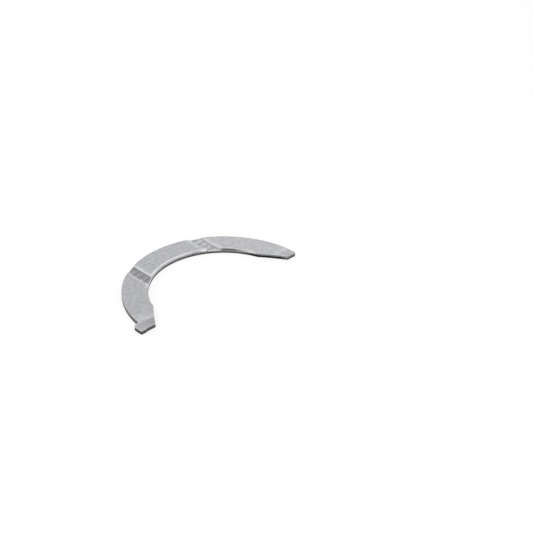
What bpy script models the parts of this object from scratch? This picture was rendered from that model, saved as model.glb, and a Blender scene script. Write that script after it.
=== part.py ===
"""Half thrust washer for a crankshaft's main bearing, blanked from bearing strip.

Units are metres. The washer lies on its back with the running face up and the
crown towards +Y. Its locating tang is at the -X end. The mesh is drawn round
the journal's axis, and the empty on that axis puts the world's origin at the
middle of the washer's base.
"""
import math

import bmesh
import bpy
from mathutils import Vector

MM = 0.001

# Plate
inner_radius = 32.0 * MM
ring_width = 11.2 * MM
thickness = 1.97 * MM

# Ends: at this angle from the crown the bore edge leaves its arc and runs to the end face in a shallow bow
end_relief_angle = 70.5
end_relief_bow = 0.2 * MM
end_face_width = 5.0 * MM
end_corner_radius = 0.5 * MM
bore_corner_radius = 3.0 * MM

# Locating tang
tang_reach = 2.8 * MM
tang_width = 5.6 * MM
tang_proud = 0.3 * MM
tang_outer_corner_radius = 2.0 * MM
tang_end_corner_radius = 0.6 * MM
tang_root_radius = 0.3 * MM

# Edges: the die's roll on the back, a light break on the face, a wide chamfer along the bore
back_roll = 0.2 * MM
face_break = 0.15 * MM
bore_chamfer_width = 1.1 * MM
bore_chamfer_depth = 0.42 * MM
bore_chamfer_fade_angle = 5.0

# Oil grooves across the running face
groove_offset = 18.6 * MM
groove_floor_width = 4.7 * MM
groove_side_run = 0.45 * MM
groove_depth = 0.6 * MM

# Ramps on the running face, falling towards the end faces
ramp_length = 4.5 * MM
ramp_drop = 0.08 * MM

# Coined lines across the back of the tang
coin_line_count = 2
coin_line_width = 0.5 * MM
coin_line_depth = 0.15 * MM

# How far a cutter runs past the metal
cutter_clearance = 1.0 * MM

# Facets
outer_arc_segments = 128
bore_arc_segments = 96
relief_segments = 8
corner_segments = 8
coin_line_segments = 12
smooth_angle = 15

# Places worked out from the sizes
outer_radius = inner_radius + ring_width
end_face_inner_x = outer_radius - end_face_width
tang_x = -outer_radius - tang_reach
tang_top_y = tang_width - tang_proud
journal_axis_place = Vector((tang_reach / 2, (tang_proud - outer_radius) / 2, 0))


def clear_scene():
    for obj in list(bpy.data.objects):
        bpy.data.objects.remove(obj, do_unlink=True)


def polar(radius, degrees):
    angle = math.radians(degrees)
    return Vector((radius * math.cos(angle), radius * math.sin(angle)))


def arc(radius, start, end, segments):
    return [polar(radius, start + (end - start) * i / segments) for i in range(segments + 1)]


def arc_trim(arc_radius, corner_radius):
    """Degrees by which an arc stops short of a corner, to leave room for the corner's rounding."""
    return math.degrees(1.5 * corner_radius / arc_radius)


def rounded(before, corner, after, radius):
    """Points of the round that replaces one corner of the outline."""
    to_before = (before - corner).normalized()
    to_after = (after - corner).normalized()
    half = to_before.angle(to_after) / 2
    centre = corner + (to_before + to_after).normalized() * radius / math.sin(half)
    first = corner + to_before * radius / math.tan(half) - centre
    last = corner + to_after * radius / math.tan(half) - centre
    start = math.degrees(math.atan2(first.y, first.x))
    turn = -math.degrees(first.angle_signed(last))
    return [centre + polar(radius, start + turn * i / corner_segments) for i in range(corner_segments + 1)]


def bowed(start, end, depth):
    """Points between the ends of a shallow bow, which sinks into the metal on the left of its way."""
    chord = end - start
    left = Vector((-chord.y, chord.x)).normalized()
    shares = [i / relief_segments for i in range(1, relief_segments)]
    return [start + chord * share + left * depth * 4 * share * (1 - share) for share in shares]


def washer_outline():
    """Outline, counter-clockwise from above, with each point's share of the bore chamfer."""
    free_outer = Vector((outer_radius, 0))
    free_inner = Vector((end_face_inner_x, 0))
    notch_angle = 180 - math.degrees(math.asin(tang_top_y / outer_radius))
    notch = polar(outer_radius, notch_angle)
    tang_top = Vector((tang_x, tang_top_y))
    tang_end = Vector((tang_x, -tang_proud))
    step_end = Vector((-outer_radius, -tang_proud))
    step_root = Vector((-outer_radius, 0))
    tang_side_inner = Vector((-end_face_inner_x, 0))
    relief_left = polar(inner_radius, 90 + end_relief_angle)
    relief_right = polar(inner_radius, 90 - end_relief_angle)

    outer = arc(outer_radius, arc_trim(outer_radius, end_corner_radius),
                notch_angle - arc_trim(outer_radius, tang_root_radius), outer_arc_segments)
    relief_rising = bowed(tang_side_inner, relief_left, end_relief_bow)
    relief_falling = bowed(relief_right, free_inner, end_relief_bow)
    bore_turn = (relief_left - relief_rising[-1]).angle(polar(1, end_relief_angle))
    bore_trim = arc_trim(inner_radius, bore_corner_radius * math.tan(bore_turn / 2))
    half_bore = end_relief_angle - bore_trim
    bore = arc(inner_radius, 90 + half_bore, 90 - half_bore, bore_arc_segments)

    points = rounded(free_inner, free_outer, outer[0], end_corner_radius)
    points += outer
    points += rounded(outer[-1], notch, tang_top, tang_root_radius)
    points += rounded(notch, tang_top, tang_end, tang_outer_corner_radius)
    points += rounded(tang_top, tang_end, step_end, tang_end_corner_radius)
    points += [step_end, step_root]
    points += rounded(step_root, tang_side_inner, relief_rising[0], end_corner_radius)
    points += relief_rising
    points += rounded(relief_rising[-1], relief_left, bore[0], bore_corner_radius)
    before_bore = len(points)
    points += bore
    points += rounded(bore[-1], relief_right, relief_falling[0], bore_corner_radius)
    points += relief_falling
    points += rounded(relief_falling[-1], free_inner, free_outer, end_corner_radius)

    shares = [0.0] * len(points)
    for i in range(bore_arc_segments + 1):
        from_crown = half_bore * abs(1 - 2 * i / bore_arc_segments)
        shares[before_bore + i] = min(1.0, (half_bore - from_crown) / bore_chamfer_fade_angle)
    return points, shares


def inset(points, amounts):
    """Moves each point of the outline into the metal by its own amount."""
    moved = []
    for i, point in enumerate(points):
        before = (point - points[i - 1]).normalized()
        after = (points[(i + 1) % len(points)] - point).normalized()
        inward = Vector((-before.y - after.y, before.x + after.x)).normalized()
        lean = inward.dot(Vector((-after.y, after.x)))
        moved.append(point + inward * amounts[i] / lean)
    return moved


def new_object(name, bm, parent):
    bmesh.ops.recalc_face_normals(bm, faces=bm.faces)
    mesh = bpy.data.meshes.new(name)
    bm.to_mesh(mesh)
    bm.free()
    obj = bpy.data.objects.new(name, mesh)
    obj.parent = parent
    bpy.context.scene.collection.objects.link(obj)
    return obj


def blanked_plate(parent):
    """The plate as four outlines, one above the other: back, back edge, face edge and face."""
    points, shares = washer_outline()
    widths = [face_break + (bore_chamfer_width - face_break) * share for share in shares]
    depths = [face_break + (bore_chamfer_depth - face_break) * share for share in shares]
    back = inset(points, [back_roll] * len(points))
    face = inset(points, widths)

    bm = bmesh.new()
    rings = [
        [bm.verts.new((p.x, p.y, 0)) for p in back],
        [bm.verts.new((p.x, p.y, back_roll)) for p in points],
        [bm.verts.new((p.x, p.y, thickness - depth)) for p, depth in zip(points, depths)],
        [bm.verts.new((p.x, p.y, thickness)) for p in face],
    ]
    bm.faces.new(reversed(rings[0]))
    bm.faces.new(rings[-1])
    for lower, upper in zip(rings, rings[1:]):
        for i in range(len(points)):
            j = (i + 1) % len(points)
            bm.faces.new((lower[i], lower[j], upper[j], upper[i]))
    return new_object("thrust_washer", bm, parent)


def bar(name, section, direction, length, parent):
    """A flat section, given by its corners, extruded along a direction."""
    bm = bmesh.new()
    face = bm.faces.new([bm.verts.new(corner) for corner in section])
    extruded = bmesh.ops.extrude_face_region(bm, geom=[face])
    far_end = [item for item in extruded["geom"] if isinstance(item, bmesh.types.BMVert)]
    bmesh.ops.translate(bm, verts=far_end, vec=Vector(direction) * length)
    return new_object(name, bm, parent)


def groove_cutter(name, side, parent):
    """A bar along Y whose sides spread towards the running face."""
    floor = thickness - groove_depth
    top = thickness + cutter_clearance
    half_floor = groove_floor_width / 2
    half_top = half_floor + groove_side_run * (top - floor) / groove_depth
    middle = side * groove_offset
    section = [
        (middle - half_floor, 0, floor),
        (middle + half_floor, 0, floor),
        (middle + half_top, 0, top),
        (middle - half_top, 0, top),
    ]
    return bar(name, section, (0, 1, 0), outer_radius + cutter_clearance, parent)


def ramp_cutter(name, side, parent):
    """A wedge along X over one end, deepest past the end face."""
    past_end = tang_proud + cutter_clearance
    low = thickness - ramp_drop * (1 + past_end / ramp_length)
    high = thickness + cutter_clearance
    section = [
        (0, ramp_length, thickness),
        (0, -past_end, low),
        (0, -past_end, high),
        (0, ramp_length, high),
    ]
    length = outer_radius + tang_reach + cutter_clearance
    return bar(name, section, (side, 0, 0), length, parent)


def coin_line_cutter(name, radius, parent):
    """A V that follows the outer edge's curve across the back of the tang."""
    half_width = coin_line_width / 2 * (1 + cutter_clearance / coin_line_depth)
    start = 180 - math.degrees(math.asin((tang_top_y + cutter_clearance) / radius))
    end = 180 + math.degrees(math.asin((tang_proud + cutter_clearance) / radius))
    bm = bmesh.new()
    rows = []
    for i in range(coin_line_segments + 1):
        angle = start + (end - start) * i / coin_line_segments
        corners = [(polar(radius - half_width, angle), -cutter_clearance),
                   (polar(radius + half_width, angle), -cutter_clearance),
                   (polar(radius, angle), coin_line_depth)]
        rows.append([bm.verts.new((p.x, p.y, z)) for p, z in corners])
    bm.faces.new(rows[0])
    bm.faces.new(reversed(rows[-1]))
    for row, following in zip(rows, rows[1:]):
        for i in range(3):
            j = (i + 1) % 3
            bm.faces.new((row[i], following[i], following[j], row[j]))
    return new_object(name, bm, parent)


def cut(body, cutter):
    cutter.hide_render = True
    cutter.display_type = "WIRE"
    modifier = body.modifiers.new(cutter.name, "BOOLEAN")
    modifier.operation = "DIFFERENCE"
    modifier.solver = "EXACT"
    modifier.object = cutter


def bearing_metal():
    material = bpy.data.materials.new("bearing_metal")
    material.use_nodes = True
    shader = material.node_tree.nodes["Principled BSDF"]
    shader.inputs["Base Color"].default_value = (0.50, 0.51, 0.53, 1)
    shader.inputs["Metallic"].default_value = 0.85
    shader.inputs["Roughness"].default_value = 0.45
    return material


def main():
    clear_scene()
    journal_axis = bpy.data.objects.new("journal_axis", None)
    journal_axis.location = journal_axis_place
    bpy.context.scene.collection.objects.link(journal_axis)

    washer = blanked_plate(journal_axis)
    washer.data.materials.append(bearing_metal())
    for label, side in (("left", -1), ("right", 1)):
        cut(washer, groove_cutter(f"groove_cutter_{label}", side, journal_axis))
        cut(washer, ramp_cutter(f"ramp_cutter_{label}", side, journal_axis))
    for i in range(coin_line_count):
        radius = outer_radius + tang_reach * (i + 1) / (coin_line_count + 1)
        cut(washer, coin_line_cutter(f"coin_line_cutter_{i + 1}", radius, journal_axis))

    washer.data.shade_smooth()
    washer.data.set_sharp_from_angle(angle=math.radians(smooth_angle))


main()
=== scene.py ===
"""Half thrust washer on a pale floor: its fine mesh, its metal finishes, the studio and the camera.

The washer is drawn in millimetres round the journal's axis, with the running
face up, the crown towards +Y and the tang at the -X end. Its two broad sides
are height fields over one outline, and a strip of wall joins them.
"""
import math

import bpy
from mathutils import Matrix, Vector, noise
from mathutils.geometry import delaunay_2d_cdt
from mathutils.kdtree import KDTree


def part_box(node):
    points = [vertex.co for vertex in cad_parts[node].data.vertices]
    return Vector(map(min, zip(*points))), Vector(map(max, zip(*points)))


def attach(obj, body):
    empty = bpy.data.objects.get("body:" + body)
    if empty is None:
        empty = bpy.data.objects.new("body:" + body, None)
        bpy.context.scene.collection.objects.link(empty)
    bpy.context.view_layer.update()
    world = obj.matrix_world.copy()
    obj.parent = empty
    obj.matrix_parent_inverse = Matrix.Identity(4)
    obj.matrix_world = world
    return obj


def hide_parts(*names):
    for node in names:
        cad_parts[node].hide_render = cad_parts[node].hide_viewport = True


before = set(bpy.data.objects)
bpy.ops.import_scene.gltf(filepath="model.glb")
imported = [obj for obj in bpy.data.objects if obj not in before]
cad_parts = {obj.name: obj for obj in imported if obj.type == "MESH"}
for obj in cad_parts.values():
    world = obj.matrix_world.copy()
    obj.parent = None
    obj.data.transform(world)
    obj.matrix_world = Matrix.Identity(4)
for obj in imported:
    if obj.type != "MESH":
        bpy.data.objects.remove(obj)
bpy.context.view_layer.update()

MM = 0.001

# Plate
inner_radius = 32.0
ring_width = 11.2
thickness = 1.97
outer_radius = inner_radius + ring_width
middle_radius = inner_radius + ring_width / 2

# Ends
end_relief_angle = 70.5
end_relief_bow = 0.2
end_face_width = 5.0
end_corner_radius = 0.5
bore_corner_radius = 3.0

# Locating tang
tang_reach = 2.8
tang_width = 5.6
tang_proud = 0.3
tang_outer_corner_radius = 2.0
tang_end_corner_radius = 0.6
tang_root_radius = 0.3
step_corner_radius = 0.1

# Edges: round on both sides, and rolled over along the bore on the running face
face_round = 0.15
back_round = 0.2
bore_roll_width = 1.2
bore_roll_depth = 0.5
bore_roll_fade_angle = 5.0
least_roll_share = 0.01
rubbed_width = 0.35

# Oil grooves and the tool marks across their floors
groove_offset = 18.6
groove_floor_half = 2.35
groove_side_run = 0.45
groove_depth = 0.6
groove_edge_blend = 0.06
groove_floor_margin = 4 * groove_edge_blend
groove_top_margin = 3 * groove_edge_blend
groove_end_width = 0.4
tool_mark_pitch = 1.75
tool_mark_height = 0.035
tool_mark_waver = 0.5
tool_mark_waver_patches = (0.35, 0.5, 3.0)
tool_mark_share = 0.6
tool_mark_least_share = 0.2
tool_mark_swell = 0.8
tool_mark_swell_patches = (0.5, 0.6, 9.0)

# Ramps on the running face, falling towards the end faces
ramp_length = 4.5
ramp_drop = 0.08

# Coined lines across the back of the tang
coin_line_count = 2
coin_line_half_width = 0.25
coin_line_depth = 0.15

# Wall: sheared clean up to a ledge, torn a little deeper above it
ledge_height = 0.85
ledge_rise = 0.06
torn_depth = 0.03
torn_waver = 0.012
torn_patches = 1.7

# Finishes: colours, grey levels and shares at places, in millimetres from the journal's axis unless
# another line is named; on noise and waves they stand at places along the pattern's own factor
finish_fade = 1.0
usual_noise = (0.3, 0.7)
noise_roughness = 0.55

# Running face: along X, lighter towards +X as a painted sheen; beside a groove's middle; along Y; and a
# painted sheen and a rubbed mark near the tang
# The face's own grey, made lighter towards +X by a painted sheen where the face reflects more light
face_colours_with_painted_sheen = ((-20.0, (0.430, 0.427, 0.440)), (-14.0, (0.440, 0.443, 0.455)),
                (12.8, (0.443, 0.446, 0.458)), (14.0, (0.488, 0.490, 0.500)),
                (21.0, (0.486, 0.485, 0.494)))
face_tints = ((0.4, (1.0, 0.98, 1.02)), (0.6, (0.96, 1.0, 1.0)))
face_mottle = ((0.3, 0.83), (0.7, 1.14))
face_roughness = (0.38, 0.52)
land_shine = ((2.8, 1.20), (3.3, 1.16), (3.7, 1.09), (4.2, 1.035), (5.0, 1.0))
# Along Y: painted shade on the ramp's tilted facet, and a painted highlight just above the fold where it
# meets the flat face
ramp_painted_shading = ((0.0, 0.94), (3.2, 0.93), (4.1, 0.98), (4.8, 1.13), (5.5, 1.16), (6.4, 1.03), (7.2, 1.0))
tang_shine_slant = 1.1
tang_shine_reach = (-32.5, -35.0)
tang_shine_level = 1.13
ramp_rub_place = (-37.2, 2.4, thickness)
ramp_rub_reach = (6.0, 0.8)
ramp_rub_level = 0.84

# Groove floors: along X, with painted shade towards the corner that is away from the tang
floor_levels = ((-1.0, 0.30), (1.0, 0.462))
floor_margin = ((-20.7, 1.32), (-20.4, 1.10), (-20.1, 1.0))
floor_bands = ((0.2, 0.88), (0.9, 1.10))
floor_blotches = ((0.38, 0.72), (0.62, 1.20))
# Painted shade in the floor's corner at the foot of the side away from the tang, strength by X
floor_corner_shade = ((-1.0, 0.7), (1.0, 0.4))
floor_corner_shade_start = 0.75 * groove_floor_half
floor_corner_shade_level = 0.17
groove_roughness = 0.5

# Groove sides and edges; the sides away from the tang from a groove's middle, darker at the foot as
# painted shade, and the right one's share of that painted shade by its radius
# Edges lighter than the face: partly the worked metal's own polish and partly a painted highlight
worked_and_sheen_level = 0.66
worked_tint = (1.0, 0.995, 1.04)
worked_patches = ((0.3, 0.91), (0.7, 1.09))
worked_roughness = (0.26, 0.4)
side_span = ((2.30, 0.0), (2.35, 1.0), (2.80, 1.0), (2.85, 0.0))
# Side levels: darker at the foot as painted shade where the side meets the groove floor, lighter towards
# the top edge
left_side_levels = ((2.35, 0.40), (2.46, 0.40), (2.66, 0.68), (2.80, 0.68))
right_side_levels = ((2.35, 0.36), (2.50, 0.36), (2.72, 0.61), (2.80, 0.61))
right_side_foot_shade_share = ((34.5, 0.85), (36.5, 0.35), (39.2, 0.35), (40.4, 1.0))
right_side_unshaded_level = 0.54

# Edges of the bore and of the outer side: along X, painted shade on stretches of the bore's edge, and
# the darker bands by their radius too
# Painted shade that dims the highlight of the bore's rolled edge on these stretches; the outer edge is
# darker towards the left end
bore_painted_shade = ((25.6, 0.0), (28.6, 1.0), (31.6, 1.0), (34.0, 0.0))
bore_painted_shade_level = 0.55
left_bore_painted_shade = ((-24.2, 1.0), (-22.0, 0.0))
left_bore_painted_shade_level = 0.42
left_outer_darkening = ((-25.4, 1.0), (-22.4, 0.0))
left_outer_darkening_level = 0.35
# Darker bands along the bore's edge: from 5 to 14.5 mm a painted shade on the outer half of the roll,
# from 21 to 29.5 mm a dark band
bore_darkening = ((5.0, 0.0), (8.0, 0.2), (11.0, 0.42), (13.0, 0.35), (14.5, 0.0),
              (20.8, 0.0), (21.5, 0.96), (25.0, 0.96), (27.0, 0.55), (29.5, 0.0))
bore_darkening_reach = ((inner_radius - 0.1, 0.0), (inner_radius + 0.1, 1.0),
                    (inner_radius + 0.7, 1.0), (inner_radius + 0.9, 0.0))
bore_darkening_level = 0.08

# Wall finish: foot and torn metal, with the places along X that are shaded
# The foot's dark grey: partly the sheared steel's own colour and partly painted shade where the wall
# meets the floor
wall_foot_steel_and_shade_level = 0.08
wall_shaded_foot_level = 0.01
torn_level = 0.25
torn_outer_left_level = 0.15
wall_streaks = ((0.3, 0.65), (0.7, 1.3))
wall_roughness = 0.45
ledge_waver = 0.15
ledge_fade = (-0.2, 0.15)
free_end_ledge_rise = 0.3
free_end_shade = ((26.6, 0.0), (29.6, 1.0), (36.6, 1.0), (38.1, 0.0))
tang_shade = ((-44.0, 1.0), (-43.0, 0.0))
groove_mouth_shade = ((-24.5, 0.0), (-22.0, 1.0), (-18.0, 1.0), (-16.0, 0.0))
groove_mouth_level = 0.5

# Back
back_shades = ((0.3, 0.37), (0.7, 0.43))
back_tint = (0.97, 1.0, 1.05)
back_roughness = (0.36, 0.5)

# Mesh
point_spacing = 0.35
corner_room = 1.5
corner_segments = 7
round_segments = 4
roll_segments = 7
least_roll_row = 1.5 * face_round
floor_row_spacing = 0.3
face_spacing = 1.2
torn_rows = (0.06, 0.3, 0.6, 0.9)
torn_row_step = 10
crossing_slack = 0.001
merge_distance = 1e-5
sharp_angle = 32

# The journal's axis in the frame, and how far the fine mesh stays inside the solid that it replaces
low_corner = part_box("thrust_washer")[0]
journal_axis = Vector((low_corner[0] / MM + outer_radius + tang_reach, low_corner[1] / MM + tang_proud))
solid_margin = 0.005

# Studio: the sky fades from its bright back to its dim front, and a lamp above the camera fills in
brightest_sky = (180, 30)
brightest = 1.12
dimmest = 0.5
fade_start = -0.15
fade_end = 0.6
lamp_place = (-60, 65)
lamp_distance = 1.2
lamp_size = 2.0
lamp_power = 5.5
floor_gap = 0.02
floor_half_width = 2.0
floor_own_share = 0.2
floor_white = (0.94, 0.94, 0.94)
floor_roughness = 0.9

# Camera
camera_aim_from_axis = Vector((27.66, 2.51))
camera_azimuth = -45.32
camera_elevation = 31.97
camera_roll = 1.24
camera_distance = 0.6353
camera_lens = 98.6
camera_sensor = 36.0
camera_near = 0.01


def polar(radius, degrees):
    angle = math.radians(degrees)
    return Vector((radius * math.cos(angle), radius * math.sin(angle)))


def arc(radius, start, end):
    count = max(1, round(radius * math.radians(abs(end - start)) / point_spacing))
    return [polar(radius, start + (end - start) * i / count) for i in range(count + 1)]


def arc_trim(arc_radius, corner_radius):
    """Degrees by which an arc stops short of a corner, to leave room for the corner's rounding."""
    return math.degrees(corner_room * corner_radius / arc_radius)


def rounded(before, corner, after, radius):
    """Points of the round that replaces one corner of the outline."""
    to_before = (before - corner).normalized()
    to_after = (after - corner).normalized()
    half = to_before.angle(to_after) / 2
    centre = corner + (to_before + to_after).normalized() * radius / math.sin(half)
    first = corner + to_before * radius / math.tan(half) - centre
    last = corner + to_after * radius / math.tan(half) - centre
    start = math.degrees(math.atan2(first.y, first.x))
    turn = -math.degrees(first.angle_signed(last))
    angles = [start + turn * i / corner_segments for i in range(corner_segments + 1)]
    return [centre + polar(radius, angle) for angle in angles]


def bowed(start, end, depth):
    """Points between the ends of a shallow bow, which sinks into the metal on the left of its way."""
    chord = end - start
    left = Vector((-chord.y, chord.x)).normalized()
    count = round(chord.length / point_spacing)
    shares = [i / count for i in range(2, count - 1)]
    return [start + chord * share + left * depth * 4 * share * (1 - share) for share in shares]


def densified(points):
    """The closed outline with its long sides cut into short ones."""
    dense = []
    for i, point in enumerate(points):
        following = points[(i + 1) % len(points)]
        count = max(1, round((following - point).length / point_spacing))
        dense += [point.lerp(following, j / count) for j in range(count)]
    return dense


def with_crossings(points, measure, level):
    """The closed outline with a point added wherever a measure passes a level."""
    crossed = []
    for i, point in enumerate(points):
        following = points[(i + 1) % len(points)]
        here, there = measure(point) - level, measure(following) - level
        crossed.append(point)
        if here * there < 0:
            crossed.append(point.lerp(following, here / (here - there)))
    return crossed


def washer_outline():
    """Outline, counter-clockwise from above."""
    free_outer = Vector((outer_radius, 0))
    free_inner = Vector((outer_radius - end_face_width, 0))
    tang_top_y = tang_width - tang_proud
    notch_angle = 180 - math.degrees(math.asin(tang_top_y / outer_radius))
    notch = polar(outer_radius, notch_angle)
    tang_top = Vector((-outer_radius - tang_reach, tang_top_y))
    tang_end = Vector((-outer_radius - tang_reach, -tang_proud))
    step_end = Vector((-outer_radius, -tang_proud))
    step_root = Vector((-outer_radius, 0))
    tang_side_inner = Vector((end_face_width - outer_radius, 0))
    relief_left = polar(inner_radius, 90 + end_relief_angle)
    relief_right = polar(inner_radius, 90 - end_relief_angle)

    outer = arc(outer_radius, arc_trim(outer_radius, end_corner_radius),
                notch_angle - arc_trim(outer_radius, tang_root_radius))
    relief_rising = bowed(tang_side_inner, relief_left, end_relief_bow)
    relief_falling = bowed(relief_right, free_inner, end_relief_bow)
    bore_turn = (relief_left - relief_rising[-1]).angle(polar(1, end_relief_angle))
    half_bore = end_relief_angle - arc_trim(inner_radius, bore_corner_radius * math.tan(bore_turn / 2))
    bore = arc(inner_radius, 90 + half_bore, 90 - half_bore)

    points = rounded(free_inner, free_outer, outer[0], end_corner_radius)
    points += outer
    points += rounded(outer[-1], notch, tang_top, tang_root_radius)
    points += rounded(notch, tang_top, tang_end, tang_outer_corner_radius)
    points += rounded(tang_top, tang_end, step_end, tang_end_corner_radius)
    points += rounded(tang_end, step_end, step_root, step_corner_radius)
    points += rounded(step_end, step_root, tang_side_inner, step_corner_radius)
    points += rounded(step_root, tang_side_inner, relief_rising[0], end_corner_radius)
    points += relief_rising
    points += rounded(relief_rising[-1], relief_left, bore[0], bore_corner_radius)
    points += bore
    points += rounded(bore[-1], relief_right, relief_falling[0], bore_corner_radius)
    points += relief_falling
    points += rounded(relief_falling[-1], free_inner, free_outer, end_corner_radius)
    return densified(points)


def inset(points, amounts):
    """Moves each point of the outline into the metal by its own amount."""
    moved = []
    for i, point in enumerate(points):
        before = (point - points[i - 1]).normalized()
        after = (points[(i + 1) % len(points)] - point).normalized()
        inward = Vector((-before.y - after.y, before.x + after.x)).normalized()
        lean = inward.dot(Vector((-after.y, after.x)))
        moved.append(point + inward * amounts[i] / lean)
    return moved


def roll_share(point):
    """How much of the bore's roll there is beside a point: none at the ends, all along the bore."""
    from_crown = abs(90 - math.degrees(math.atan2(point.y, point.x)))
    share = (end_relief_angle - from_crown) / bore_roll_fade_angle
    return max(0.0, min(1.0, share)) if point.length < middle_radius else 0.0


def quarter_round(distance, radius):
    """Drop of a round edge at a distance from its wall."""
    inside = max(0.0, radius - distance)
    return radius - math.sqrt(radius * radius - inside * inside)


def softened(value, blend):
    """Zero below zero and the value above it, with the corner rounded over the blend."""
    if value > blend:
        return value
    return max(0.0, value + blend) ** 2 / (4 * blend)


class Edge:
    """The outline as something to measure distances from."""

    def __init__(self, points):
        self.points = points
        self.tree = KDTree(len(points))
        for i, point in enumerate(points):
            self.tree.insert(point.to_3d(), i)
        self.tree.balance()

    def distance(self, point):
        _, nearest, _ = self.tree.find(point.to_3d())
        corner = self.points[nearest]
        gaps = []
        for neighbour in (self.points[nearest - 1], self.points[(nearest + 1) % len(self.points)]):
            side = neighbour - corner
            share = max(0.0, min(1.0, (point - corner).dot(side) / side.length_squared))
            gaps.append((corner + side * share - point).length)
        return min(gaps)


def patchy(point, patches):
    """Smooth noise between about -1 and 1, from its two scales over the plane and its layer."""
    across, along, layer = patches
    return noise.noise(Vector((point.x * across, point.y * along, layer)))


def groove_drop(point):
    """Depth of an oil groove below the running face, with tool marks across its floor."""
    beside = abs(abs(point.x) - groove_offset)
    slope = groove_depth / groove_side_run
    top_half = groove_floor_half + groove_side_run
    drop = softened(top_half - beside, groove_edge_blend) * slope
    drop -= softened(groove_floor_half - beside, groove_edge_blend) * slope
    in_floor = max(0.0, min(1.0, (groove_floor_half - beside) / groove_floor_margin))
    waver = tool_mark_waver * patchy(point, tool_mark_waver_patches)
    ridge = 0.5 + 0.5 * math.sin(2 * math.pi * (point.y / tool_mark_pitch + waver))
    swell = tool_mark_share + tool_mark_swell * patchy(point, tool_mark_swell_patches)
    return drop - tool_mark_height * ridge * max(tool_mark_least_share, swell) * in_floor


def face_height(edge, point):
    """Height of the running face: the plate less its ramps, its rolled or round edge and its grooves."""
    distance = edge.distance(point)
    ramp = ramp_drop * max(0.0, ramp_length - point.y) / ramp_length
    share = roll_share(point)
    roll_width = bore_roll_width * max(share, least_roll_share)
    roll = bore_roll_depth * share * max(0.0, 1 - distance / roll_width) ** 2
    height = min(thickness - ramp - roll, thickness - groove_drop(point))
    return height - quarter_round(distance, face_round)


def back_height(edge, point):
    """Height of the back: flat, with a round edge and the coined lines under the tang."""
    height = quarter_round(edge.distance(point), back_round)
    for radius in coin_line_radii():
        across = abs(point.length - radius) / coin_line_half_width
        height = max(height, coin_line_depth * (1 - across))
    return height


def coin_line_radii():
    """Radii of the coined lines, evenly spread over the tang."""
    return [outer_radius + tang_reach * (i + 1) / (coin_line_count + 1) for i in range(coin_line_count)]


def groove_lines():
    """Places of the lines along each groove: the corners of its sides with their blends, and margins."""
    top_half = groove_floor_half + groove_side_run
    offsets = []
    for corner in (groove_floor_half, top_half):
        offsets += [corner - groove_edge_blend, corner, corner + groove_edge_blend]
    offsets += [groove_floor_half - groove_floor_margin, top_half + groove_top_margin]
    from_crown = [groove_offset + way * offset for way in (-1, 1) for offset in offsets]
    return [side * place for side in (-1, 1) for place in from_crown]


def coin_lines():
    """Radii of the lines along each coined line: its middle and both sides."""
    return [radius + way * coin_line_half_width for radius in coin_line_radii() for way in (-1, 0, 1)]


def straight_chain(start, end):
    count = max(1, round((end - start).length / point_spacing))
    return [start.lerp(end, i / count) for i in range(count)] + [end]


def arc_chain(start, end):
    """Points from start to end round the journal's axis."""
    turn = -start.angle_signed(end)
    growth = end.length / start.length - 1
    count = max(1, round(abs(turn) * start.length / point_spacing))
    shares = [i / count for i in range(count)]
    turned = [Matrix.Rotation(turn * share, 2) @ start * (1 + growth * share) for share in shares]
    return turned + [end]


def crossing_pairs(outline, measure, level, order):
    """Pairs of outline points between which a line at this level runs through the metal."""
    crossings = sorted((p for p in outline if abs(measure(p) - level) < crossing_slack), key=order)
    return zip(crossings[::2], crossings[1::2])


class Sheet:
    """Points and fixed edges that a broad side of the washer is triangulated from."""

    def __init__(self, outline):
        self.outline = outline
        self.points = list(outline)
        self.edges = [(i, (i + 1) % len(outline)) for i in range(len(outline))]

    def add_chain(self, chain):
        first = len(self.points)
        self.points += chain
        self.edges += [(i, i + 1) for i in range(first, len(self.points) - 1)]

    def add_ring(self, distance):
        """A closed row of points, all at one distance from the wall."""
        first = len(self.points)
        self.add_chain(inset(self.outline, [distance] * len(self.outline)))
        self.edges.append((len(self.points) - 1, first))

    def add_round(self, radius):
        """The rings that a round edge is made of."""
        for i in range(1, round_segments + 1):
            self.add_ring(radius * (1 - math.cos(math.radians(90 * i / round_segments))))

    def triangulated(self):
        """Points, triangles, and for each outline point its number among the points."""
        inside_only = 1
        points, _, faces, sources, _, _ = delaunay_2d_cdt(self.points, self.edges, [], inside_only,
                                                          merge_distance)
        number = {source: i for i, group in enumerate(sources) for source in group}
        return points, faces, number


def face_sheet(outline, edge):
    """Round edge, roll of the bore, lines of the grooves and the ramps, and points in the open."""
    sheet = Sheet(outline)
    sheet.add_round(face_round)
    shares = [roll_share(point) for point in outline]
    for i in range(2, roll_segments + 2):
        widths = [bore_roll_width * share * i / roll_segments for share in shares]
        ring = inset(outline, widths)
        sheet.add_chain([p for p, width in zip(ring, widths) if width > least_roll_row])
    for x in groove_lines():
        for start, end in crossing_pairs(outline, lambda p: p.x, x, lambda p: p.y):
            sheet.add_chain(straight_chain(start, end))
    for start, end in crossing_pairs(outline, lambda p: p.y, ramp_length, lambda p: p.x):
        sheet.add_chain(straight_chain(start, end))
    sheet.points += groove_floor_points(edge)
    sheet.points += face_points(edge)
    return sheet


def groove_floor_points(edge):
    """Rows of points close enough together to carry the tool marks."""
    points = []
    inside = groove_floor_half - groove_floor_margin
    columns = math.ceil(2 * inside / point_spacing)
    first_row = inner_radius / 2
    row_span = 3 * ring_width
    rows = round(row_span / floor_row_spacing)
    for side in (-1, 1):
        for i in range(1, columns):
            x = side * groove_offset - inside + 2 * inside * i / columns
            for j in range(rows):
                point = Vector((x, first_row + row_span * j / rows))
                if inner_radius < point.length < outer_radius and edge.distance(point) > point_spacing:
                    points.append(point)
    return points


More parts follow.
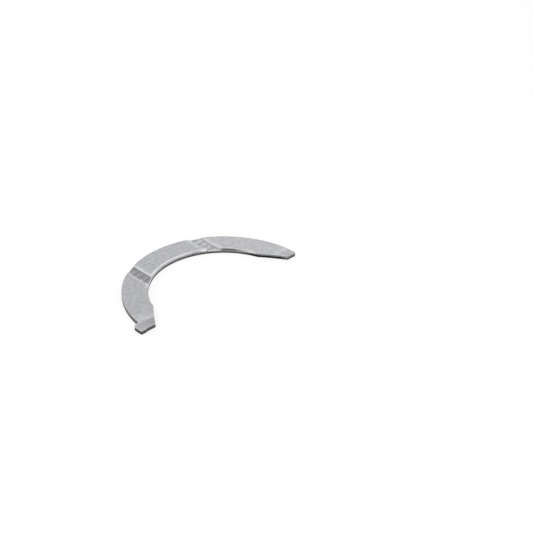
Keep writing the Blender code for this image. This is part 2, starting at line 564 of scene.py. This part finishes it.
def face_points(edge):
    """A net of points over the open face, clear of its edges and grooves."""
    points = []
    rows = math.ceil(outer_radius / face_spacing)
    for j in range(rows):
        for i in range(-rows - 1, rows + 1):
            stagger = j % 2 / 2
            point = Vector(((i + stagger) * face_spacing, (j + 0.5) * face_spacing))
            beside_groove = abs(abs(point.x) - groove_offset) - groove_floor_half - groove_side_run
            on_metal = inner_radius + bore_roll_width < point.length < outer_radius
            if on_metal and beside_groove > face_spacing / 2 and edge.distance(point) > face_spacing:
                points.append(point)
    return points


def back_sheet(outline):
    """Round edge with a clear ring inside it, and the coined lines."""
    sheet = Sheet(outline)
    sheet.add_round(back_round)
    sheet.add_ring(2 * back_round)
    for radius in coin_lines():
        for start, end in crossing_pairs(outline, lambda p: p.length, radius, lambda p: -p.y):
            sheet.add_chain(arc_chain(start, end))
    return sheet


def wall_rows(outline, tops):
    """Rows of the wall from the face down to the back: torn metal, the ledge, then sheared metal."""
    torn = []
    for share in torn_rows:
        depths = []
        for point in outline:
            where = Vector((point.x, point.y, torn_row_step * share)) * torn_patches
            depths.append(torn_depth + torn_waver * noise.noise(where))
        placed = inset(outline, depths)
        foot = ledge_height + ledge_rise
        torn.append([(p.x, p.y, top + (foot - top) * share) for p, top in zip(placed, tops)])
    clean_heights = (ledge_height, (ledge_height + back_round) / 2)
    clean = [[(p.x, p.y, height) for p in outline] for height in clean_heights]
    return torn + clean


def meshing_outline():
    """The outline just inside the solid's, with a point wherever a line of the face or back meets it."""
    outline = washer_outline()
    outline = inset(outline, [solid_margin] * len(outline))
    for x in groove_lines():
        outline = with_crossings(outline, lambda p: p.x, x)
    outline = with_crossings(outline, lambda p: p.y, ramp_length)
    for radius in coin_lines():
        outline = with_crossings(outline, lambda p: p.length, radius)
    return outline


def washer_mesh():
    """Vertices, faces and each face's finish: the running face, the back, and the wall between them."""
    outline = meshing_outline()
    edge = Edge(outline)

    top_points, top_faces, top_number = face_sheet(outline, edge).triangulated()
    vertices = [(p.x, p.y, face_height(edge, p)) for p in top_points]
    faces = [tuple(face) for face in top_faces]
    slots = [face_slot(edge, [top_points[i] for i in face]) for face in top_faces]

    base = len(vertices)
    back_points, back_faces, back_number = back_sheet(outline).triangulated()
    vertices += [(p.x, p.y, back_height(edge, p)) for p in back_points]
    faces += [tuple(base + i for i in reversed(face)) for face in back_faces]
    slots += [back_slot(edge, [back_points[i] for i in face]) for face in back_faces]

    rim = [top_number[i] for i in range(len(outline))]
    foot = [base + back_number[i] for i in range(len(outline))]
    rows = [rim]
    for row in wall_rows(outline, [vertices[i][2] for i in rim]):
        rows.append(range(len(vertices), len(vertices) + len(row)))
        vertices += row
    rows.append(foot)
    for upper, lower in zip(rows, rows[1:]):
        for i in range(len(outline)):
            j = (i + 1) % len(outline)
            faces.append((upper[j], upper[i], lower[i], lower[j]))
            slots.append("sheared_wall")
    return vertices, faces, slots


def middle_of(corners):
    return sum(corners, Vector((0, 0))) / len(corners)


def back_slot(edge, corners):
    """Finish of a triangle of the back: bare inside the round edge."""
    return "sheared_wall" if edge.distance(middle_of(corners)) < back_round else "back_face"


def face_slot(edge, corners):
    """Finish of a triangle of the running face, by where its middle lies."""
    middle = middle_of(corners)
    beside_groove = abs(abs(middle.x) - groove_offset) - groove_floor_half
    distance = edge.distance(middle)
    if beside_groove < 0:
        at_bore = distance < groove_end_width and middle.length < middle_radius
        return "worked_edge" if at_bore or distance < face_round else "groove_floor"
    rubbed = rubbed_width if middle.length < middle_radius or middle.y < rubbed_width else face_round
    worked_width = max(rubbed, bore_roll_width * roll_share(middle))
    if beside_groove < groove_side_run or distance < worked_width:
        return "worked_edge"
    return "running_face"


def add_node(tree, kind, inputs, **settings):
    """A shader node with its settings; an input is a value, or the socket it is linked to."""
    node = tree.nodes.new(kind)
    for name, value in settings.items():
        setattr(node, name, value)
    for name, value in inputs.items():
        if isinstance(value, bpy.types.NodeSocket):
            tree.links.new(value, node.inputs[name])
        else:
            node.inputs[name].default_value = value
    return node


def new_metal(name, metallic):
    """A metal material, its nodes and shader, and its place in millimetres from the journal's axis."""
    material = bpy.data.materials.new(name)
    material.use_nodes = True
    tree = material.node_tree
    shader = tree.nodes["Principled BSDF"]
    shader.inputs["Metallic"].default_value = metallic
    metres = add_node(tree, "ShaderNodeTexCoord", {}).outputs["Object"]
    scaled = add_node(tree, "ShaderNodeVectorMath", {0: metres, 1: (1 / MM, 1 / MM, 1 / MM)},
                      operation="MULTIPLY")
    place = add_node(tree, "ShaderNodeVectorMath", {0: scaled.outputs[0], 1: (*journal_axis, 0)},
                     operation="SUBTRACT")
    return material, tree, shader, place.outputs[0]


def coordinate(tree, place, axis):
    return add_node(tree, "ShaderNodeSeparateXYZ", {"Vector": place}).outputs[axis]


def calculated(tree, operation, first, second=0.0):
    """A number worked out from one or two others."""
    return add_node(tree, "ShaderNodeMath", {0: first, 1: second}, operation=operation).outputs[0]


def both(tree, first, second):
    """Share of a place that is in two stretches at once."""
    return calculated(tree, "MULTIPLY", first, second)


def from_axis(tree, place):
    """Distance from the journal's axis."""
    flat = add_node(tree, "ShaderNodeVectorMath", {0: place, 1: (1, 1, 0)}, operation="MULTIPLY")
    length = add_node(tree, "ShaderNodeVectorMath", {0: flat.outputs[0]}, operation="LENGTH")
    return length.outputs["Value"]


def from_groove_middle(tree, place):
    """Distance along X from the middle of the groove on the same side of the crown."""
    x = coordinate(tree, place, "X")
    middle = calculated(tree, "MULTIPLY", calculated(tree, "SIGN", x), groove_offset)
    return calculated(tree, "SUBTRACT", x, middle)


def share_between(tree, measure, start, end):
    """How far a measure is on its way from start to end, between 0 and 1."""
    inputs = {"Value": measure, "From Min": start, "From Max": end}
    return add_node(tree, "ShaderNodeMapRange", inputs).outputs[0]


def spread(tree, factor, low_value, high_value):
    """A noise factor mapped from its usual range to a range of values."""
    inputs = {"Value": factor, "From Min": usual_noise[0], "From Max": usual_noise[1],
              "To Min": low_value, "To Max": high_value}
    return add_node(tree, "ShaderNodeMapRange", inputs).outputs[0]


def cloud(tree, place, scale, detail=2.0, stretch=(1, 1, 1)):
    """Noise whose patches are about 1 / scale millimetres wide."""
    stretched = add_node(tree, "ShaderNodeVectorMath", {0: place, 1: stretch}, operation="MULTIPLY")
    inputs = {"Vector": stretched.outputs[0], "Scale": scale, "Detail": detail,
              "Roughness": noise_roughness}
    return add_node(tree, "ShaderNodeTexNoise", inputs).outputs["Fac"]


def grey(level, tint=(1.0, 1.0, 1.0)):
    return tuple(level * share for share in tint)


def greys(stops, tint=(1.0, 1.0, 1.0)):
    return [(place, grey(level, tint)) for place, level in stops]


def ramp(tree, factor, stops):
    """Colours at places along a factor."""
    made = add_node(tree, "ShaderNodeValToRGB", {"Fac": factor})
    elements = made.color_ramp.elements
    while len(elements) < len(stops):
        elements.new(0.5)
    for element, (place, colour) in zip(elements, stops):
        element.position = place
        element.color = (*colour, 1)
    return made.outputs["Color"]


def graded(tree, measure, stops):
    """Colours at places along a measure, which run straight from one to the next."""
    start, end = stops[0][0], stops[-1][0]
    share = share_between(tree, measure, start, end)
    return ramp(tree, share, [((place - start) / (end - start), colour) for place, colour in stops])


def levels(tree, measure, stops):
    """Grey levels, or shares, at places along a measure."""
    return graded(tree, measure, greys(stops))


def opaque(colour):
    """A colour with its alpha; a socket stays as it is."""
    return colour if isinstance(colour, bpy.types.NodeSocket) else (*colour, 1)


def mixed(tree, factor, first, second, blend_type="MIX"):
    """Mix of two sockets or colours; 6, 7 and 2 are the colour sockets of Blender's mix node."""
    made = add_node(tree, "ShaderNodeMix", {0: factor, 6: opaque(first), 7: opaque(second)},
                    data_type="RGBA", blend_type=blend_type)
    return made.outputs[2]


def multiplied(tree, colour, *factors):
    for factor in factors:
        colour = mixed(tree, 1.0, colour, factor, "MULTIPLY")
    return colour


def toned(tree, factor, colour, level):
    """The colour made lighter or darker by a level, as far as the factor says."""
    return mixed(tree, factor, colour, multiplied(tree, colour, grey(level)))


def roughened(tree, shader, factor, smoothest_and_roughest):
    """Lets a noise factor vary the shader's roughness."""
    tree.links.new(spread(tree, factor, *smoothest_and_roughest), shader.inputs["Roughness"])


def bumped(tree, shader, height, strength, distance):
    """Lets a noise factor dent the surface, by up to a distance in millimetres."""
    inputs = {"Height": height, "Strength": strength, "Distance": distance * MM}
    tree.links.new(add_node(tree, "ShaderNodeBump", inputs).outputs[0], shader.inputs["Normal"])


def running_face():
    """Bearing lining: pale and matt, mottled, bright beside the grooves, rubbed at one spot on a ramp,
    with painted shade on the ramps and a painted highlight and sheen just above them.
    """
    material, tree, shader, place = new_metal("running_face", metallic=0.9)
    x = coordinate(tree, place, "X")
    y = coordinate(tree, place, "Y")
    plain = graded(tree, x, face_colours_with_painted_sheen)
    tints = ramp(tree, cloud(tree, place, scale=0.09, detail=1.0), face_tints)
    mottle = ramp(tree, cloud(tree, place, scale=0.8, detail=4.0), greys(face_mottle))
    beside = calculated(tree, "ABSOLUTE", from_groove_middle(tree, place))
    land = levels(tree, beside, land_shine)
    # Painted shade on the ramps and a painted highlight above their fold
    ramp_shading = levels(tree, y, ramp_painted_shading)
    colour = multiplied(tree, plain, tints, mottle, land, ramp_shading)

    # Painted sheen in the corner towards the tang, above the ramp
    slanted = calculated(tree, "ADD", y, calculated(tree, "MULTIPLY", x, tang_shine_slant))
    in_corner = share_between(tree, slanted, *tang_shine_reach)
    above_ramp = share_between(tree, y, ramp_length + finish_fade, ramp_length + 2 * finish_fade)
    colour = toned(tree, both(tree, in_corner, above_ramp), colour, tang_shine_level)

    away = add_node(tree, "ShaderNodeVectorMath", {0: place, 1: ramp_rub_place}, operation="DISTANCE")
    in_rub = share_between(tree, away.outputs["Value"], *ramp_rub_reach)
    on_ramp = share_between(tree, y, ramp_length, ramp_length - finish_fade)
    colour = toned(tree, both(tree, in_rub, on_ramp), colour, ramp_rub_level)

    tree.links.new(colour, shader.inputs["Base Color"])
    roughened(tree, shader, cloud(tree, place, scale=1.6, detail=3.0), face_roughness)
    bumped(tree, shader, cloud(tree, place, scale=4.0, detail=4.0), strength=0.25, distance=0.02)
    return material


def groove_floor():
    """Milled floor: blotched, duller than the face, lighter at the left margin and with patchy painted
    shade in a corner.
    """
    material, tree, shader, place = new_metal("groove_floor", metallic=0.9)
    x = coordinate(tree, place, "X")
    waving = {"Vector": place, "Scale": 0.09, "Distortion": 4.0, "Detail": 2.0, "Detail Scale": 1.5}
    waves = add_node(tree, "ShaderNodeTexWave", waving, bands_direction="Y")
    bands = ramp(tree, waves.outputs["Fac"], greys(floor_bands))
    blotches = ramp(tree, cloud(tree, place, scale=1.1, detail=4.0, stretch=(0.8, 1.6, 1)),
                    greys(floor_blotches))
    margin = levels(tree, x, floor_margin)
    colour = multiplied(tree, levels(tree, x, floor_levels), bands, blotches, margin, worked_tint)

    # Patchy painted shade in the floor's corner at the foot of the side away from the tang
    corner = share_between(tree, from_groove_middle(tree, place), floor_corner_shade_start, groove_floor_half)
    patches = spread(tree, cloud(tree, place, scale=0.9), 0.0, 1.0)
    corner_shade = both(tree, both(tree, corner, patches), levels(tree, x, floor_corner_shade))
    colour = mixed(tree, corner_shade, colour, grey(floor_corner_shade_level))

    tree.links.new(colour, shader.inputs["Base Color"])
    shader.inputs["Roughness"].default_value = groove_roughness
    marks = cloud(tree, place, scale=3.0, detail=3.0, stretch=(0.4, 3.0, 1))
    bumped(tree, shader, marks, strength=0.4, distance=0.03)
    return material


def worked_edge():
    """Groove sides and edges, brighter than the face partly by a painted highlight, with painted shade
    on stretches of the bore's edge and darker bands there.
    """
    material, tree, shader, place = new_metal("worked_edge", metallic=0.95)
    x = coordinate(tree, place, "X")
    y = coordinate(tree, place, "Y")
    radius = from_axis(tree, place)
    from_middle = from_groove_middle(tree, place)
    # Painted shade at the foot of the groove sides, shown more or less along the right groove by radius
    foot_shade_share = levels(tree, radius, right_side_foot_shade_share)
    foot_shaded_side = levels(tree, from_middle, right_side_levels)
    right_side = mixed(tree, foot_shade_share, grey(right_side_unshaded_level), foot_shaded_side)
    left_side = levels(tree, from_middle, left_side_levels)
    side = mixed(tree, share_between(tree, x, -finish_fade, finish_fade), left_side, right_side)
    colour = mixed(tree, levels(tree, from_middle, side_span), grey(worked_and_sheen_level), side)
    patches = ramp(tree, cloud(tree, place, scale=1.0, detail=3.0), greys(worked_patches))
    colour = multiplied(tree, colour, patches, worked_tint)

    near_bore = share_between(tree, radius, middle_radius + finish_fade, middle_radius)
    # Painted shade on stretches of the bore's edge, dimming its highlight
    darkened_share = both(tree, levels(tree, x, bore_painted_shade), near_bore)
    colour = mixed(tree, darkened_share, colour, grey(bore_painted_shade_level))

    above_ramp = share_between(tree, y, ramp_length - finish_fade, ramp_length)
    at_outer_edge = levels(tree, x, left_outer_darkening)
    at_bore = levels(tree, x, left_bore_painted_shade)
    darkened_share = both(tree, mixed(tree, near_bore, at_outer_edge, at_bore), above_ramp)
    darker_grey = mixed(tree, near_bore, grey(left_outer_darkening_level), grey(left_bore_painted_shade_level))
    colour = mixed(tree, darkened_share, colour, darker_grey)

    # Painted shade on the roll near the crown, and a dark band further along the bore's edge
    darkened = both(tree, levels(tree, radius, bore_darkening_reach), levels(tree, x, bore_darkening))
    colour = mixed(tree, darkened, colour, grey(bore_darkening_level))

    tree.links.new(colour, shader.inputs["Base Color"])
    roughened(tree, shader, cloud(tree, place, scale=2.5), worked_roughness)
    return material


def sheared_wall():
    """Blanked wall: dark at the foot, partly sheared steel and partly painted shade where it meets the
    floor, torn and greyer above the ledge.
    """
    material, tree, shader, place = new_metal("sheared_wall", metallic=0.85)
    x = coordinate(tree, place, "X")
    near_bore = share_between(tree, from_axis(tree, place), middle_radius + finish_fade, middle_radius)
    free_end = both(tree, levels(tree, x, free_end_shade), near_bore)
    shaded = calculated(tree, "MAXIMUM", free_end, levels(tree, x, tang_shade))
    # Foot grey with painted shade, deepest where the ends are shaded
    foot = mixed(tree, shaded, grey(wall_foot_steel_and_shade_level), grey(wall_shaded_foot_level))

    off_bore = calculated(tree, "SUBTRACT", 1.0, near_bore)
    outer_left = both(tree, levels(tree, x, left_outer_darkening), off_bore)
    torn = mixed(tree, outer_left, grey(torn_level), grey(torn_outer_left_level))

    waver = spread(tree, cloud(tree, place, scale=0.5, detail=3.0, stretch=(1, 1, 0.2)),
                   -ledge_waver, ledge_waver)
    height = calculated(tree, "ADD", coordinate(tree, place, "Z"), waver)
    lowered = calculated(tree, "MULTIPLY", free_end, free_end_ledge_rise)
    above_ledge = share_between(tree, calculated(tree, "SUBTRACT", height, lowered),
                                *(ledge_height + step for step in ledge_fade))
    streaks = ramp(tree, cloud(tree, place, scale=2.2, detail=3.0, stretch=(1, 1, 0.25)),
                   greys(wall_streaks))
    colour = multiplied(tree, mixed(tree, above_ledge, foot, torn), streaks)
    in_mouth = both(tree, levels(tree, x, groove_mouth_shade), near_bore)

    tree.links.new(toned(tree, in_mouth, colour, groove_mouth_level), shader.inputs["Base Color"])
    shader.inputs["Roughness"].default_value = wall_roughness
    grain = cloud(tree, place, scale=5.0, detail=3.0, stretch=(1, 1, 0.3))
    bumped(tree, shader, grain, strength=0.5, distance=0.03)
    return material


def back_face():
    """Bare steel back, bluish and even."""
    material, tree, shader, place = new_metal("back_face", metallic=0.9)
    patches = cloud(tree, place, scale=0.5, detail=4.0, stretch=(0.4, 1.6, 1))
    tree.links.new(ramp(tree, patches, greys(back_shades, back_tint)), shader.inputs["Base Color"])
    smears = cloud(tree, place, scale=1.5, detail=3.0, stretch=(0.5, 2, 1))
    roughened(tree, shader, smears, back_roughness)
    grain = cloud(tree, place, scale=4.0, detail=3.0, stretch=(0.4, 2.5, 1))
    bumped(tree, shader, grain, strength=0.2, distance=0.02)
    return material


def add_washer():
    """The washer's fine mesh, in place of the plain solid."""
    vertices, faces, slots = washer_mesh()
    mesh = bpy.data.meshes.new("washer_body")
    axis_x, axis_y = journal_axis
    mesh.from_pydata([((x + axis_x) * MM, (y + axis_y) * MM, z * MM) for x, y, z in vertices], [], faces)
    materials = [running_face(), groove_floor(), worked_edge(), sheared_wall(), back_face()]
    for material in materials:
        mesh.materials.append(material)
    names = [material.name for material in materials]
    for polygon, slot in zip(mesh.polygons, slots):
        polygon.material_index = names.index(slot)
    mesh.shade_smooth()
    mesh.set_sharp_from_angle(angle=math.radians(sharp_angle))
    washer = bpy.data.objects.new("washer_body", mesh)
    bpy.context.scene.collection.objects.link(washer)
    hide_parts("thrust_washer")
    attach(washer, "root")


def white_floor():
    """Matt white that the camera and the metal see as plain white, with some of its own shading left."""
    material = bpy.data.materials.new("white_floor")
    material.use_nodes = True
    tree = material.node_tree
    matt = tree.nodes["Principled BSDF"]
    matt.inputs["Base Color"].default_value = (*floor_white, 1)
    matt.inputs["Roughness"].default_value = floor_roughness
    matt.inputs["Specular IOR Level"].default_value = 0.0
    plain = add_node(tree, "ShaderNodeEmission", {"Color": (1, 1, 1, 1), "Strength": 1.0}).outputs[0]
    rays = add_node(tree, "ShaderNodeLightPath", {}).outputs
    seen = calculated(tree, "ADD", rays["Is Camera Ray"], rays["Is Glossy Ray"])
    seen = calculated(tree, "ADD", seen, rays["Is Transmission Ray"])
    share = calculated(tree, "MULTIPLY", seen, 1 - floor_own_share)
    blend = add_node(tree, "ShaderNodeMixShader", {0: share, 1: matt.outputs[0], 2: plain})
    tree.links.new(blend.outputs[0], tree.nodes["Material Output"].inputs["Surface"])
    return material


def add_floor():
    """A wide floor just under the washer, white to the camera and with the washer's shadow on it."""
    mesh = bpy.data.meshes.new("floor")
    signs = [(-1, -1), (1, -1), (1, 1), (-1, 1)]
    corners = [(x * floor_half_width, y * floor_half_width, 0) for x, y in signs]
    mesh.from_pydata(corners, [], [(0, 1, 2, 3)])
    floor = bpy.data.objects.new("floor", mesh)
    floor.location.z = -floor_gap * MM
    mesh.materials.append(white_floor())
    bpy.context.scene.collection.objects.link(floor)


def direction(azimuth, elevation):
    """Unit vector towards a place in the studio; azimuth 0 is in front, at -Y."""
    turn, rise = math.radians(azimuth), math.radians(elevation)
    return Vector((math.sin(turn) * math.cos(rise), -math.cos(turn) * math.cos(rise), math.sin(rise)))


def add_lamp():
    """A square soft box aimed at the washer."""
    data = bpy.data.lights.new("fill", "AREA")
    data.size = lamp_size
    data.energy = lamp_power
    lamp = bpy.data.objects.new("fill", data)
    out = direction(*lamp_place)
    lamp.location = out * lamp_distance
    lamp.rotation_euler = out.to_track_quat("Z", "Y").to_euler()
    bpy.context.scene.collection.objects.link(lamp)


def add_world():
    """Soft studio light, which fades from the back of the studio to the front."""
    world = bpy.data.worlds.new("studio")
    bpy.context.scene.world = world
    world.use_nodes = True
    tree = world.node_tree
    way = add_node(tree, "ShaderNodeTexCoord", {}).outputs["Generated"]
    facing = add_node(tree, "ShaderNodeVectorMath", {0: way, 1: direction(*brightest_sky)},
                      operation="DOT_PRODUCT")
    light = add_node(tree, "ShaderNodeMapRange",
                     {"Value": facing.outputs["Value"], "From Min": fade_start, "From Max": fade_end,
                      "To Min": dimmest, "To Max": brightest}, interpolation_type="SMOOTHSTEP")
    background = tree.nodes["Background"]
    background.inputs["Color"].default_value = (1, 1, 1, 1)
    tree.links.new(light.outputs[0], background.inputs["Strength"])


def add_camera():
    """The photograph's view, from in front and to the left of the washer."""
    data = bpy.data.cameras.new("camera")
    data.lens = camera_lens
    data.sensor_width = camera_sensor
    data.clip_start = camera_near
    camera = bpy.data.objects.new("camera", data)
    back = direction(camera_azimuth, camera_elevation)
    aim = ((journal_axis + camera_aim_from_axis) * MM).to_3d()
    camera.location = aim + back * camera_distance
    turn = back.to_track_quat("Z", "Y").to_matrix() @ Matrix.Rotation(math.radians(camera_roll), 3, "Z")
    camera.rotation_euler = turn.to_euler()
    bpy.context.scene.collection.objects.link(camera)
    bpy.context.scene.camera = camera


add_camera()
add_world()
add_lamp()
add_floor()
add_washer()
bpy.context.scene.view_settings.view_transform = "Standard"
